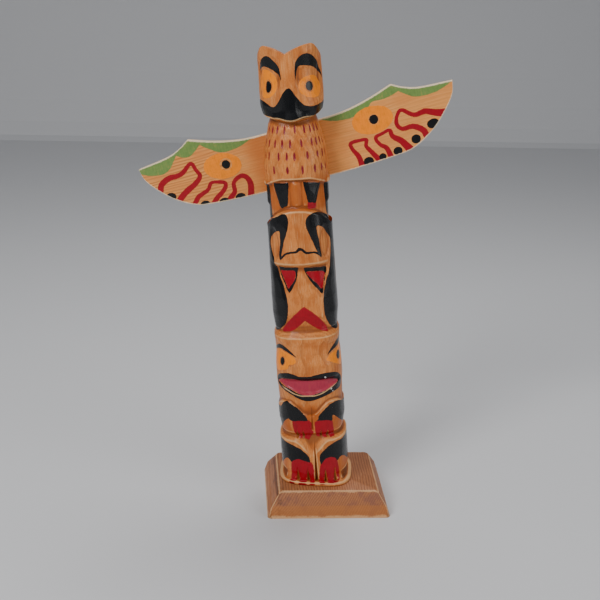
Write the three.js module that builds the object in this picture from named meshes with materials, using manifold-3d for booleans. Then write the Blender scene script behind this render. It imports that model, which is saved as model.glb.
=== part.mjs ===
// A small carved souvenir totem pole: a leaning pole of four stacked figures (bird, whale, bear's
// head and its crouching body), one straight wing board let into a notch across the pole's back,
// and a plinth. Millimetres, +Z up, front towards -Y, origin at the middle of the plinth's underside.
import * as THREE from 'three';
import { mergeVertices } from 'three/addons/utils/BufferGeometryUtils.js';
import Module from 'manifold-3d';

const wasm = await Module();
wasm.setup();

const GAP = 0.3; // glue line between two pieces that touch

const PLINTH = {
  width: 90, // along X
  depth: 81, // along Y
  height: 18,
  slope: 9.3, // height taken by the sloped top edge
  inset: 8.7, // how far that slope comes in
  corner: 3.5, // rounding of the upright corners
};

const POLE = {
  footX: -7, // where the pole's axis meets the plinth
  footY: 1.5,
  lean: 5.1, // degrees, towards -X
  twist: -7, // degrees about its own axis
  length: 317.6, // to the tips of the ears
  bottomRadius: 25.3, // half width of the blank at the foot
  topRadius: 21.25, // and at the ears
  columns: 46, // lengthwise strips, closer together at the front
  crowding: 0.42, // how much closer, 0 is even
  rowStep: 5, // longest step between two rows
};

// The two ear tufts rise either side of a valley in the crown.
const EARS = { valley: -2, depth: 6.3, leftFlank: 16, rightFlank: 20 };

const WING = {
  thickness: 5,
  notchDepthY: 11, // distance of the notch's floor behind the pole's axis
  height: 240, // of the board's centre line on the pole's axis
  tilt: 12, // degrees, right wing up
  chord: 40, // at the pole
  tip: 114, // from the pole's axis, times a wing's own reach
  shoulder: 73.5,
  left: { reach: 0.98, droop: 1.8 }, // the left wing is shorter and its tip hangs lower
  right: { reach: 1.02, droop: -1.2 },
};

const radians = THREE.MathUtils.degToRad;

function ramp(value, start, end) {
  return THREE.MathUtils.smoothstep((value - start) / (end - start), 0, 1);
}

// 1 at the centre, falling smoothly to 0 at a distance of width.
function mound(value, centre, width) {
  return 1 - ramp(Math.abs(value - centre), 0, width);
}

function mix(a, b, share) {
  return a + (b - a) * share;
}

// ---------------------------------------------------------------- the pole's blank

function blankRadius(z) {
  return mix(POLE.bottomRadius, POLE.topRadius, z / POLE.length);
}

// The blank is a rounded square at the foot and the head, and nearly round at the chest.
function squareness(z) {
  const whale = ramp(z, 100, 150);
  const chest = ramp(z, 195, 225) * (1 - ramp(z, 262, 285));
  const foot = 1 - ramp(z, 2, 8);
  return 2.7 + 0.8 * foot - 0.35 * whale - 0.25 * chest + 0.2 * ramp(z, 270, 300);
}

function blankSection(angle, z) {
  const power = squareness(z);
  const side = Math.abs(Math.sin(radians(angle))) ** power;
  const front = Math.abs(Math.cos(radians(angle))) ** power;
  return blankRadius(z) / (side + front) ** (1 / power);
}

// ---------------------------------------------------------------- stations of the carving
// Each station is a line round the pole: z gives its height and cut its depth below the blank,
// both by the angle from the front in degrees, positive to the right. off is the plain angle
// from the front, whichever side.

const FLAT = () => 0;

function wholeWay(value) {
  return () => value;
}

function frontToSide(front, side, from = 15, to = 75) {
  return (off) => mix(front, side, ramp(off, from, to));
}

const STATIONS = [
  // the uncarved lip at the foot
  { z: wholeWay(0), cut: wholeWay(-1.3) },
  { z: wholeWay(2.2), cut: wholeWay(-1.3) },
  // toes in front, and the undercut below each heel
  { z: wholeWay(2.5), cut: frontToSide(1.2, 4, 46, 56) },
  { z: frontToSide(7, 8.5), cut: frontToSide(0.6, 3.8, 46, 56) },
  { z: frontToSide(9.5, 11.5, 48, 90), cut: frontToSide(0.3, 0.4, 46, 56) },
  { z: frontToSide(18.5, 22, 0, 20), cut: frontToSide(0.7, 0.2, 4, 30) },
  // knees, then the deep notch that parts them from the hands
  { z: frontToSide(22, 35, -4, 30), cut: frontToSide(1.6, 0, 4, 16) },
  { z: frontToSide(39, 38), cut: frontToSide(3.6, 4.2) },
  { z: frontToSide(41.5, 41.5), cut: frontToSide(1.9, 2) },
  // hands and arms folded on the belly
  { z: frontToSide(54.5, 50), cut: frontToSide(1, 0.4, 4, 20) },
  { z: (off) => 55.5 + 10 * ramp(off, 4, 36) - 6.5 * ramp(off, 44, 80), cut: frontToSide(2.4, 0.3, 3, 12) },
  { z: (off) => 56.5 + 10 * ramp(off, 4, 36) - 6 * ramp(off, 44, 80), cut: frontToSide(2.4, 1.6, 3, 12) },
  // the bear's mouth: lower lip, hollow, upper lip
  { z: (off) => 67.3 + 7 * ramp(off, 5, 60), cut: frontToSide(0.7, 0.8) },
  { z: (off) => 71 + 7.5 * ramp(off, 8, 60), cut: frontToSide(0.2, 0.3) },
  { z: (off) => 73.5 + 6.2 * ramp(off, 8, 60), cut: frontToSide(2.9, 0.3, 40, 64) },
  { z: frontToSide(81.3, 81, 10, 60), cut: frontToSide(3.4, 0.3, 40, 64) },
  { z: frontToSide(84.5, 83.5, 10, 60), cut: frontToSide(0.8, 0.3) },
  { z: frontToSide(88.5, 89.5, 5, 40), cut: frontToSide(0.1, 0.3) },
  // nose ridge, eyes and brow
  { z: wholeWay(93), cut: frontToSide(0, 0.4, 20, 60) },
  { z: wholeWay(97.5), cut: (off) => 0.6 + 0.6 * mound(off, 42, 30) },
  { z: wholeWay(102), cut: (off) => 1.1 + 0.9 * mound(off, 42, 30) },
  { z: wholeWay(108.5), cut: (off) => 1 + 0.7 * mound(off, 48, 30) - 0.5 * ramp(off, 70, 90) },
  { z: wholeWay(112), cut: wholeWay(0.3) },
  { z: wholeWay(114.5), cut: wholeWay(0.2) },
  { z: wholeWay(119.2), cut: frontToSide(3.8, 2.2, 30, 80) },
  // the whale's lower jaw, snout, eyes and brow ledge
  { z: wholeWay(120.6), cut: frontToSide(3.4, 1.2, 30, 70) },
  { z: wholeWay(131), cut: frontToSide(1.1, 0, 30, 70) },
  { z: wholeWay(143), cut: frontToSide(0.5, 0, 30, 70) },
  { z: wholeWay(149.5), cut: frontToSide(1.1, 0, 40, 55) },
  { z: wholeWay(158), cut: (off) => (1.4 + 0.9 * mound(off, 26, 18)) * (1 - ramp(off, 44, 54)) },
  { z: wholeWay(166.3), cut: (off) => (1.8 + 1.1 * mound(off, 26, 24)) * (1 - ramp(off, 48, 58)) },
  { z: wholeWay(169.3), cut: frontToSide(0.2, 0.1) },
  { z: wholeWay(180), cut: frontToSide(0.7, 0, 30, 50) },
  { z: wholeWay(195), cut: frontToSide(1.1, 0, 12, 24) },
  { z: (off) => 206.3 - 16 * (1 - Math.cos(radians(off))), cut: frontToSide(0.7, 0.3, 12, 24) },
  { z: (off) => 209.5 - 16 * (1 - Math.cos(radians(off))), cut: wholeWay(3.5) },
  // the bird's legs and tail
  { z: (off) => 210.5 - 16 * (1 - Math.cos(radians(off))), cut: frontToSide(3.3, 2.4, 20, 80) },
  { z: frontToSide(227.5, 222.5, 20, 80), cut: frontToSide(2.9, 2.1, 20, 80) },
  // the bird's chest, swelling from the neck and stepped at its lower edge
  { z: frontToSide(228.5, 223.5, 20, 80), cut: wholeWay(0.8) },
  { z: frontToSide(238, 234, 20, 80), cut: wholeWay(0.1) },
  { z: wholeWay(247), cut: wholeWay(0.9) },
  { z: wholeWay(256), cut: wholeWay(2.7) },
  { z: frontToSide(262.5, 264, 10, 60), cut: wholeWay(4.6) },
  { z: frontToSide(266, 268.5, 10, 60), cut: wholeWay(6.2) },
  // the jaw and beak, a wedge with its keel in front
  { z: (off) => 267.8 + 2.2 * ramp(off, 0, 30) + 3 * ramp(off, 40, 80), cut: frontToSide(0.6, 1.2, 0, 24) },
  { z: (off) => 274 + 3 * ramp(off, 24, 72), cut: (off) => 0.2 + 1.7 * mound(off, 24, 26) },
  {
    z: (off) => 290 - 12.3 * ramp(off, 0, 32) + 2.4 * ramp(off, 36, 66),
    cut: (off) => 1.1 * mound(off, 18, 20),
  },
  // the eye hollows either side of the ridge between the brows
  { z: (off) => 293 - 8 * ramp(off, 4, 34) + 1 * ramp(off, 36, 66), cut: eyeHollow(0.6) },
  { z: frontToSide(297, 292, 4, 40), cut: eyeHollow(1) },
  { z: frontToSide(303, 301, 4, 40), cut: eyeHollow(0.9) },
  { z: wholeWay(309), cut: eyeHollow(0.35) },
  { z: wholeWay(313), cut: FLAT },
  { z: wholeWay(POLE.length), cut: FLAT },
];

function eyeHollow(share) {
  return (off) => share * 2.5 * ramp(off, 10, 20) * (1 - ramp(off, 66, 86));
}

// The back stays plain and round: the carving runs out behind the sides.
function reachOfCarving(off) {
  return 1 - ramp(off, 118, 152);
}

// ---------------------------------------------------------------- ornament carved in low relief

// Edge of the whale's side fins, as an angle from the front.
function finEdge(z) {
  return 32.5 + 19 * ramp(z, 139, 170) + 24 * (1 - ramp(z, 114, 131));
}

function finRelief(off, z) {
  const along = ramp(z, 119, 122.5) * (1 - ramp(z, 164, 168));
  return along * 0.9 * ramp(finEdge(z) - off, -1, 3);
}

// The bare openings inside the two halves of the tail.
function tailOpening(off, z) {
  const across = (off - 48) / 12;
  const up = (z - 183) / 12.5;
  return 1.1 * (1 - ramp(across * across + up * up, 0.5, 1.2));
}

// The bird's legs stand up as two tapered panels beside a ridge.
function legRelief(off, z) {
  const along = ramp(z, 208, 211) * (1 - ramp(z, 225, 228));
  const outer = mix(34, 52, ramp(z, 208, 228));
  const panel = ramp(off, 12, 16) * (1 - ramp(off, outer - 2, outer + 3));
  return -along * (0.8 * panel + 1.4 * mound(off, 0, 12) + 1.2 * ramp(off, 68, 74));
}

function carvedDepth(off, z, stationCut) {
  const relief = finRelief(off, z) + tailOpening(off, z) + legRelief(off, z);
  return (stationCut + relief) * reachOfCarving(off);
}

// ---------------------------------------------------------------- the pole's surface

const poleFrame = new THREE.Matrix4().makeRotationFromEuler(
  new THREE.Euler(0, radians(-POLE.lean), radians(POLE.twist)),
);

// Height on the leaning pole of the plinth's level top, under a point of the section.
function plinthLevel(x, y) {
  const m = poleFrame.elements;
  return -(m[2] * x + m[6] * y) / m[10];
}

// The top falls to the back, and a shallow valley parts the two ears.
function crownHeight(x, y) {
  const flank = x < EARS.valley ? EARS.leftFlank : EARS.rightFlank;
  const down = Math.max(0, 1 - Math.abs(x - EARS.valley) / flank);
  const ears = POLE.length - EARS.depth * down ** 1.8 - 4 * ramp(Math.abs(x), 15.5, 22);
  return ears - 0.42 * Math.max(0, y + 14);
}

function stationHeights(off) {
  return STATIONS.map((station, k) => {
    const carved = station.z(off);
    const plain = station.z(0);
    const keep = k === 0 ? 1 : reachOfCarving(off);
    return mix(plain, carved, keep);
  });
}

function surfacePoint(angle, row, share) {
  const off = Math.abs(angle);
  const heights = stationHeights(off);
  const k = Math.min(Math.floor(row), STATIONS.length - 2);
  const between = row - k;
  const z = mix(heights[k], heights[k + 1], between);
  const stationCut = mix(STATIONS[k].cut(off), STATIONS[k + 1].cut(off), between);
  const depth = k < 2 ? stationCut : carvedDepth(off, z, stationCut);
  const radius = (blankSection(angle, z) - depth) * share;
  const x = radius * Math.sin(radians(angle));
  const y = -radius * Math.cos(radians(angle));
  const sunk = plinthLevel(x, y) * (1 - ramp(z, 0, 30));
  const crown = (crownHeight(x, y) - POLE.length) * ramp(z, 296, POLE.length);
  return new THREE.Vector3(x, y, z + sunk + crown + GAP);
}

// Rows sit on every station, and between two stations wherever the step would be too long.
function rowNumbers() {
  const rows = [];
  for (let k = 0; k < STATIONS.length - 1; k += 1) {
    const rise = STATIONS[k + 1].z(30) - STATIONS[k].z(30);
    const steps = Math.max(1, Math.round(rise / POLE.rowStep));
    for (let step = 0; step < steps; step += 1) {
      rows.push(k + step / steps);
    }
  }
  rows.push(STATIONS.length - 1);
  return rows;
}

function polarAngle(turn) {
  const wide = turn - 180;
  const crowded = wide - (POLE.crowding * 180 / Math.PI) * Math.sin(radians(wide));
  return crowded;
}

function makePoleBlank() {
  const rows = rowNumbers();
  const last = rows.length - 1;
  const profile = [new THREE.Vector2(0, 0), new THREE.Vector2(0.6, 0)];
  rows.forEach((row, k) => profile.push(new THREE.Vector2(1, k)));
  profile.push(new THREE.Vector2(0.7, last), new THREE.Vector2(0.35, last), new THREE.Vector2(0, last));
  const lathe = new THREE.LatheGeometry(profile, POLE.columns);
  const place = lathe.attributes.position;
  for (let i = 0; i < place.count; i += 1) {
    const across = Math.hypot(place.getX(i), place.getZ(i));
    const turn = THREE.MathUtils.radToDeg(Math.atan2(place.getX(i), place.getZ(i))) + 180;
    const row = rows[Math.round(place.getY(i))];
    const point = surfacePoint(polarAngle(turn % 360), row, across);
    place.setXYZ(i, point.x, point.y, point.z);
  }
  return lathe;
}

// ---------------------------------------------------------------- closed solids

function toSolid(geometry) {
  const bare = geometry.clone();
  bare.deleteAttribute('uv');
  bare.deleteAttribute('normal');
  const merged = mergeVertices(bare, 1e-4);
  const corners = merged.index.array;
  const kept = [];
  for (let i = 0; i < corners.length; i += 3) {
    const [a, b, c] = [corners[i], corners[i + 1], corners[i + 2]];
    if (a !== b && b !== c && c !== a) {
      kept.push(a, b, c);
    }
  }
  const mesh = new wasm.Mesh({
    numProp: 3,
    vertProperties: new Float32Array(merged.attributes.position.array),
    triVerts: new Uint32Array(kept),
  });
  return new wasm.Manifold(mesh);
}

function toGeometry(solid) {
  const mesh = solid.getMesh();
  const geometry = new THREE.BufferGeometry();
  geometry.setAttribute('position', new THREE.BufferAttribute(mesh.vertProperties, 3));
  geometry.setIndex(new THREE.BufferAttribute(mesh.triVerts, 1));
  geometry.computeVertexNormals();
  return geometry;
}

// A V cut that is deepest at its lower end and runs out at its upper end.
function veeCut({ angle, low, high, width, depth, surface }) {
  const proud = 3;
  const reach = depth + proud;
  const half = (width / 2) * (reach / depth);
  const vee = new THREE.Shape([
    new THREE.Vector2(0, 0),
    new THREE.Vector2(-half, -reach),
    new THREE.Vector2(half, -reach),
  ]);
  const cut = new THREE.ExtrudeGeometry(vee, { depth: high - low, bevelEnabled: false });
  cut.rotateX(Math.atan2(depth, high - low));
  cut.translate(0, depth - surface, low);
  cut.rotateZ(radians(angle));
  return toSolid(cut);
}

// ---------------------------------------------------------------- pieces

const WOOD = { color: 0xc98a50, roughness: 0.42, metalness: 0 };

function makePole() {
  let solid = toSolid(makePoleBlank());
  const cuts = [
    // the split between the legs and the crease down the belly
    { angle: 4.5, low: 1.5, high: 36, width: 3.4, depth: 4.5, surface: 24.6 },
    { angle: 3, low: 43, high: 67, width: 2, depth: 1.4, surface: 22.8 },
  ];
  for (const [left, right] of [[-27, -10], [20, 36]]) {
    // two gaps in each foot make three toes
    cuts.push({ angle: left, low: 2.4, high: 15, width: 3, depth: 3, surface: 25.4 });
    cuts.push({ angle: right, low: 2.4, high: 15, width: 3, depth: 3, surface: 25.4 });
  }
  for (const angle of [-26, -15, 18, 30]) {
    // gaps between the fingers
    cuts.push({ angle, low: 36.5, high: 45, width: 2.6, depth: 2.4, surface: 24.3 });
  }
  for (const cut of cuts) {
    solid = solid.subtract(veeCut(cut));
  }
  const notchTo = 30;
  const notch = new THREE.BoxGeometry(90, notchTo, WING.chord + 2 * GAP);
  notch.translate(0, WING.notchDepthY + notchTo / 2, 0);
  notch.rotateY(radians(-WING.tilt));
  notch.translate(0, 0, WING.height);
  solid = solid.subtract(toSolid(notch));
  return toGeometry(solid);
}

// One wing's edge in the board's own plane, from the pole out to the tip and back along the bottom.
function wingEdge({ reach, droop }) {
  const half = WING.chord / 2;
  const at = (u, v) => {
    const outer = Math.max(0, (u - WING.shoulder) / (WING.tip - WING.shoulder));
    return new THREE.Vector2(u * reach, v - droop * outer);
  };
  const peak = at(WING.shoulder, 29.8);
  const tip = at(WING.tip, 20.3);
  const shoulder = new THREE.SplineCurve([at(28, half - 0.4), at(43, 21.2), at(58, 24.7), peak]);
  const primary = new THREE.SplineCurve([peak, at(81, 25.6), at(92, 22.2), tip]);
  const trailing = new THREE.SplineCurve([
    tip, at(111.5, 11), at(103, 0), at(93, -9), at(81, -15.8), at(69, -18.4), at(35, -20.2),
  ]);
  const points = [at(0, half)];
  points.push(...shoulder.getPoints(7));
  points.push(...primary.getPoints(8).slice(1));
  points.push(...trailing.getPoints(18).slice(1));
  points.push(at(0, -half));
  return points;
}

function makeWingBoard() {
  const right = wingEdge(WING.right);
  const left = wingEdge(WING.left).map((point) => new THREE.Vector2(-point.x, point.y));
  const outline = [...right, ...left.reverse().slice(1, -1)];
  const board = new THREE.ExtrudeGeometry(new THREE.Shape(outline), {
    depth: WING.thickness,
    bevelEnabled: false,
  });
  board.rotateX(Math.PI / 2);
  board.translate(0, WING.thickness, 0);
  return toGeometry(toSolid(board));
}

function roundedBlock(width, depth, height, corner) {
  const [x, y] = [width / 2, depth / 2];
  const plan = new THREE.Shape();
  plan.moveTo(-x + corner, -y);
  plan.lineTo(x - corner, -y);
  plan.absarc(x - corner, -y + corner, corner, -Math.PI / 2, 0);
  plan.lineTo(x, y - corner);
  plan.absarc(x - corner, y - corner, corner, 0, Math.PI / 2);
  plan.lineTo(-x + corner, y);
  plan.absarc(-x + corner, y - corner, corner, Math.PI / 2, Math.PI);
  plan.lineTo(-x, -y + corner);
  plan.absarc(-x + corner, -y + corner, corner, Math.PI, Math.PI * 1.5);
  return new THREE.ExtrudeGeometry(plan, { depth: height, bevelEnabled: false, curveSegments: 4 });
}

function makePlinth() {
  const { width, depth, height, slope, inset, corner } = PLINTH;
  const [x, y] = [width / 2 - inset, depth / 2 - inset];
  const top = new THREE.Shape([
    new THREE.Vector2(-x, -y),
    new THREE.Vector2(x, -y),
    new THREE.Vector2(x, y),
    new THREE.Vector2(-x, y),
  ]);
  const sloped = new THREE.ExtrudeGeometry(top, {
    depth: height,
    bevelEnabled: true,
    bevelThickness: slope,
    bevelSize: inset,
    bevelSegments: 1,
  });
  sloped.translate(0, 0, -slope);
  const block = roundedBlock(width, depth, height, corner);
  return toGeometry(toSolid(sloped).intersect(toSolid(block)));
}

function piece(name, geometry, look) {
  const mesh = new THREE.Mesh(geometry, new THREE.MeshStandardMaterial({ ...look, flatShading: true }));
  mesh.name = name;
  return mesh;
}

const totem = new THREE.Group();

totem.add(piece('plinth', makePlinth(), { ...WOOD, color: 0xb07a52 }));

const figure = new THREE.Group();
figure.position.set(POLE.footX, POLE.footY, PLINTH.height);
figure.rotation.set(0, radians(-POLE.lean), radians(POLE.twist));
totem.add(figure);

figure.add(piece('pole', makePole(), WOOD));

const wingBoard = piece('wing_board', makeWingBoard(), { ...WOOD, color: 0xd39a5a });
wingBoard.position.set(0, WING.notchDepthY + GAP, WING.height);
wingBoard.rotation.set(0, radians(-WING.tilt), 0);
figure.add(wingBoard);

export default totem;
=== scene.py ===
"""A carved souvenir totem pole: painted, varnished cedar on a softwood plinth."""

import math

import bmesh
import bpy
import numpy as np
from mathutils import Matrix, Vector


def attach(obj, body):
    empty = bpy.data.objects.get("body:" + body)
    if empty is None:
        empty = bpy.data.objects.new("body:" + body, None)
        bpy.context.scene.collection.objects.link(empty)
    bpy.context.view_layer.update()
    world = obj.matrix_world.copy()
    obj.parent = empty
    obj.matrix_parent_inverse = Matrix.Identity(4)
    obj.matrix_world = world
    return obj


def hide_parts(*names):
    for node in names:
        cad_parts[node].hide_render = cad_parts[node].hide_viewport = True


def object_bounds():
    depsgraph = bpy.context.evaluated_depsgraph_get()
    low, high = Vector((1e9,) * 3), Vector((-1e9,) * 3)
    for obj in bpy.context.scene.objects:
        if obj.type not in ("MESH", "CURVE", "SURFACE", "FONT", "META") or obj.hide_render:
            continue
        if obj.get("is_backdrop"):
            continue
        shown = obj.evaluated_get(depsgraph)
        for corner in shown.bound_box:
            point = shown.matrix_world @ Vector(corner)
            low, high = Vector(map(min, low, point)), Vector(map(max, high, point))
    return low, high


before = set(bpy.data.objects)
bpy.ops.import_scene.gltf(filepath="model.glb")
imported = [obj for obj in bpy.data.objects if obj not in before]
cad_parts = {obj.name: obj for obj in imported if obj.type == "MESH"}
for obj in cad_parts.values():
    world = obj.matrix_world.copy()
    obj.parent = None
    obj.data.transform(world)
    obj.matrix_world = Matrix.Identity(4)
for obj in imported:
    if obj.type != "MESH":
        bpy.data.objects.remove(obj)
cad_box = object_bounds()

MM = 0.001


# ------------------------------------------------------------------ camera

def make_camera():
    lens = bpy.data.cameras.new("camera")
    lens.lens = 63.6
    lens.sensor_width = 36
    lens.clip_start = 0.05
    camera = bpy.data.objects.new("camera", lens)
    bpy.context.scene.collection.objects.link(camera)
    aim_right = Matrix.Rotation(math.radians(-4.03), 4, "Z")
    look_down = Matrix.Rotation(math.radians(90 - 17.77), 4, "X")
    roll = Matrix.Rotation(math.radians(1.53), 4, "Z")
    place = Matrix.Translation(Vector((-73.9, -724.7, 387.0)) * MM)
    camera.matrix_world = place @ aim_right @ look_down @ roll
    bpy.context.scene.camera = camera


make_camera()


# ------------------------------------------------------------------ sizes, in millimetres and degrees

GLUE = 0.3

PLINTH_WIDTH = 90
PLINTH_DEPTH = 81
PLINTH_HEIGHT = 18
PLINTH_SLOPE = 9.3
PLINTH_INSET = 8.7
PLINTH_CORNER = 3.5

FOOT_X = -7
FOOT_Y = 1.5
LEAN = 5.1
TWIST = -7
POLE_LENGTH = 317.6
BOTTOM_RADIUS = 25.3
TOP_RADIUS = 21.25
EAR_VALLEY = -2
EAR_DEPTH = 6.3
LEFT_EAR_FLANK = 16
RIGHT_EAR_FLANK = 20

WING_THICKNESS = 5
NOTCH_DEPTH_Y = 11
WING_HEIGHT = 240
WING_TILT = 12
WING_CHORD = 40
WING_TIP = 114
WING_SHOULDER = 73.5
LEFT_REACH = 0.98
LEFT_DROOP = 1.8
RIGHT_REACH = 1.02
RIGHT_DROOP = -1.2

POLE_COLUMNS = 200
POLE_ROW_STEP = 0.69
CROWDING = 0.5

ARC = 0.41  # millimetres round the pole to one degree


# ------------------------------------------------------------------ small curves

def ramp(value, start, end):
    t = np.clip((value - start) / (end - start), 0, 1)
    return t * t * (3 - 2 * t)


def mound(value, centre, width):
    return 1 - ramp(np.abs(value - centre), 0, width)


def mix(a, b, share):
    return a + (b - a) * share


def smooth_line(points, steps=12):
    """Catmull-Rom line through a few points."""
    points = np.array(points, float)
    padded = np.vstack([2 * points[0] - points[1], points, 2 * points[-1] - points[-2]])
    t = np.linspace(0, 1, steps, endpoint=False)[:, None]
    line = []
    for a, b, c, d in zip(padded, padded[1:], padded[2:], padded[3:]):
        line.append(0.5 * (2 * b + (c - a) * t + (2 * a - 5 * b + 4 * c - d) * t ** 2
                           + (3 * b - a - 3 * c + d) * t ** 3))
    return np.vstack(line + [points[-1:]])


# ------------------------------------------------------------------ the pole's blank and its carving

def blank_section(angle, z):
    whale = ramp(z, 100, 150)
    chest = ramp(z, 195, 225) * (1 - ramp(z, 262, 285))
    foot = 1 - ramp(z, 2, 8)
    power = 2.7 + 0.8 * foot - 0.35 * whale - 0.25 * chest + 0.2 * ramp(z, 270, 300)
    side = np.abs(np.sin(np.radians(angle))) ** power
    front = np.abs(np.cos(np.radians(angle))) ** power
    radius = mix(BOTTOM_RADIUS, TOP_RADIUS, z / POLE_LENGTH)
    return radius / (side + front) ** (1 / power)


def level(value):
    return lambda off: np.full_like(off, float(value))


def sweep(front, side, start=15, end=75):
    return lambda off: mix(front, side, ramp(off, start, end))


def arch(top):
    return lambda off: top - 16 * (1 - np.cos(np.radians(off)))


def eye_hollow(share):
    return lambda off: share * 2.5 * ramp(off, 10, 20) * (1 - ramp(off, 66, 86))


# Each station is a line round the pole: its height, and its depth below the blank.
STATIONS = [
    # the uncarved lip at the foot, the toes and the undercut heels
    (level(0), level(-1.3)),
    (level(2.2), level(-1.3)),
    (level(2.5), sweep(1.2, 4, 46, 56)),
    (sweep(7, 8.5), sweep(0.6, 3.8, 46, 56)),
    (sweep(9.5, 11.5, 48, 90), sweep(0.3, 0.4, 46, 56)),
    (sweep(18.5, 22, 0, 20), sweep(0.7, 0.2, 4, 30)),
    # knees, and the notch that parts them from the hands
    (sweep(22, 35, -4, 30), sweep(1.6, 0, 4, 16)),
    (sweep(39, 38), sweep(3.6, 4.2)),
    (level(41.5), sweep(1.9, 2)),
    # hands and arms folded on the belly
    (sweep(54.5, 50), sweep(1, 0.4, 4, 20)),
    (lambda off: 55.5 + 10 * ramp(off, 4, 36) - 6.5 * ramp(off, 44, 80), sweep(2.4, 0.3, 3, 12)),
    (lambda off: 56.5 + 10 * ramp(off, 4, 36) - 6 * ramp(off, 44, 80), sweep(2.4, 1.6, 3, 12)),
    # the bear's mouth
    (lambda off: 67.3 + 7 * ramp(off, 5, 60), sweep(0.7, 0.8)),
    (lambda off: 71 + 7.5 * ramp(off, 8, 60), sweep(0.2, 0.3)),
    (lambda off: 73.5 + 6.2 * ramp(off, 8, 60), sweep(2.9, 0.3, 40, 64)),
    (sweep(81.3, 81, 10, 60), sweep(3.4, 0.3, 40, 64)),
    (sweep(84.5, 83.5, 10, 60), sweep(0.8, 0.3)),
    (sweep(88.5, 89.5, 5, 40), sweep(0.1, 0.3)),
    # nose ridge, eyes and brow
    (level(93), sweep(0, 0.4, 20, 60)),
    (level(97.5), lambda off: 0.6 + 0.6 * mound(off, 42, 30)),
    (level(102), lambda off: 1.1 + 0.9 * mound(off, 42, 30)),
    (level(108.5), lambda off: 1 + 0.7 * mound(off, 48, 30) - 0.5 * ramp(off, 70, 90)),
    (level(112), level(0.3)),
    (level(114.5), level(0.2)),
    (level(119.2), sweep(3.8, 2.2, 30, 80)),
    # the whale's lower jaw, snout, eyes and brow ledge
    (level(120.6), sweep(3.4, 1.2, 30, 70)),
    (level(131), sweep(1.1, 0, 30, 70)),
    (level(143), sweep(0.5, 0, 30, 70)),
    (level(149.5), sweep(1.1, 0, 40, 55)),
    (level(158), lambda off: (1.4 + 0.9 * mound(off, 26, 18)) * (1 - ramp(off, 44, 54))),
    (level(166.3), lambda off: (1.8 + 1.1 * mound(off, 26, 24)) * (1 - ramp(off, 48, 58))),
    (level(169.3), sweep(0.2, 0.1)),
    (level(180), sweep(0.7, 0, 30, 50)),
    (level(195), sweep(1.1, 0, 12, 24)),
    (arch(206.3), sweep(0.7, 0.3, 12, 24)),
    (arch(209.5), level(3.5)),
    # the bird's legs and tail
    (arch(210.5), sweep(3.3, 2.4, 20, 80)),
    (sweep(227.5, 222.5, 20, 80), sweep(2.9, 2.1, 20, 80)),
    # the bird's chest
    (sweep(228.5, 223.5, 20, 80), level(0.8)),
    (sweep(238, 234, 20, 80), level(0.1)),
    (level(247), level(0.9)),
    (level(256), level(2.7)),
    (sweep(262.5, 264, 10, 60), level(4.6)),
    (sweep(266, 268.5, 10, 60), level(6.2)),
    # the jaw and beak, a wedge with its keel in front
    (lambda off: 267.8 + 2.2 * ramp(off, 0, 30) + 3 * ramp(off, 40, 80), sweep(0.6, 1.2, 0, 24)),
    (lambda off: 274 + 3 * ramp(off, 24, 72), lambda off: 0.2 + 1.7 * mound(off, 24, 26)),
    (lambda off: 290 - 12.3 * ramp(off, 0, 32) + 2.4 * ramp(off, 36, 66), lambda off: 1.1 * mound(off,
     18, 20)),
    # the eye hollows either side of the ridge between the brows
    (lambda off: 293 - 8 * ramp(off, 4, 34) + 1 * ramp(off, 36, 66), eye_hollow(0.6)),
    (sweep(297, 292, 4, 40), eye_hollow(1)),
    (sweep(303, 301, 4, 40), eye_hollow(0.9)),
    (level(309), eye_hollow(0.35)),
    (level(313), level(0)),
    (level(POLE_LENGTH), level(0)),
]


# The bird's breast feathers: angle and height of each short cut.
FEATHERS = [(a, z) for z, row in (
    (262, (-62, -48, -34, -17, 6, 27, 41, 52, 63)),
    (253, (-69, -54, -37, -21, -5, 17, 39, 50, 61, 73)),
    (244.6, (-66, -52, -28, -12, 2, 26, 48, 62, 73)),
    (235.3, (-76, -64, -39, -12, 15, 39, 55, 69)),
) for a in row]


def reach_of_carving(off):
    return 1 - ramp(off, 118, 152)


def fin_edge(z):
    return 32.5 + 19 * ramp(z, 139, 170) + 24 * (1 - ramp(z, 114, 131))


def fin_relief(off, z):
    along = ramp(z, 119, 122.5) * (1 - ramp(z, 164, 168))
    return along * 0.9 * ramp(fin_edge(z) - off, -1, 3)


def tail_opening(off, z):
    across = (off - 48) / 12
    up = (z - 183) / 12.5
    return 1.1 * (1 - ramp(across * across + up * up, 0.5, 1.2))


def leg_relief(off, z):
    along = ramp(z, 208, 211) * (1 - ramp(z, 225, 228))
    outer = mix(34, 52, ramp(z, 208, 228))
    panel = ramp(off, 12, 16) * (1 - ramp(off, outer - 2, outer + 3))
    return -along * (0.8 * panel + 1.4 * mound(off, 0, 12) + 1.2 * ramp(off, 68, 74))


def turned(x_deg, y_deg, z_deg):
    about_x = Matrix.Rotation(math.radians(x_deg), 3, "X")
    about_y = Matrix.Rotation(math.radians(y_deg), 3, "Y")
    about_z = Matrix.Rotation(math.radians(z_deg), 3, "Z")
    return about_x @ about_y @ about_z


POLE_TURN = turned(0, -LEAN, TWIST)


def plinth_level(x, y):
    return -(POLE_TURN[2][0] * x + POLE_TURN[2][1] * y) / POLE_TURN[2][2]


def crown_height(x, y):
    flank = np.where(x < EAR_VALLEY, LEFT_EAR_FLANK, RIGHT_EAR_FLANK)
    down = np.maximum(0, 1 - np.abs(x - EAR_VALLEY) / flank)
    ears = POLE_LENGTH - EAR_DEPTH * down ** 1.8 - 4 * ramp(np.abs(x), 15.5, 22)
    return ears - 0.42 * np.maximum(0, y + 14)


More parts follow.
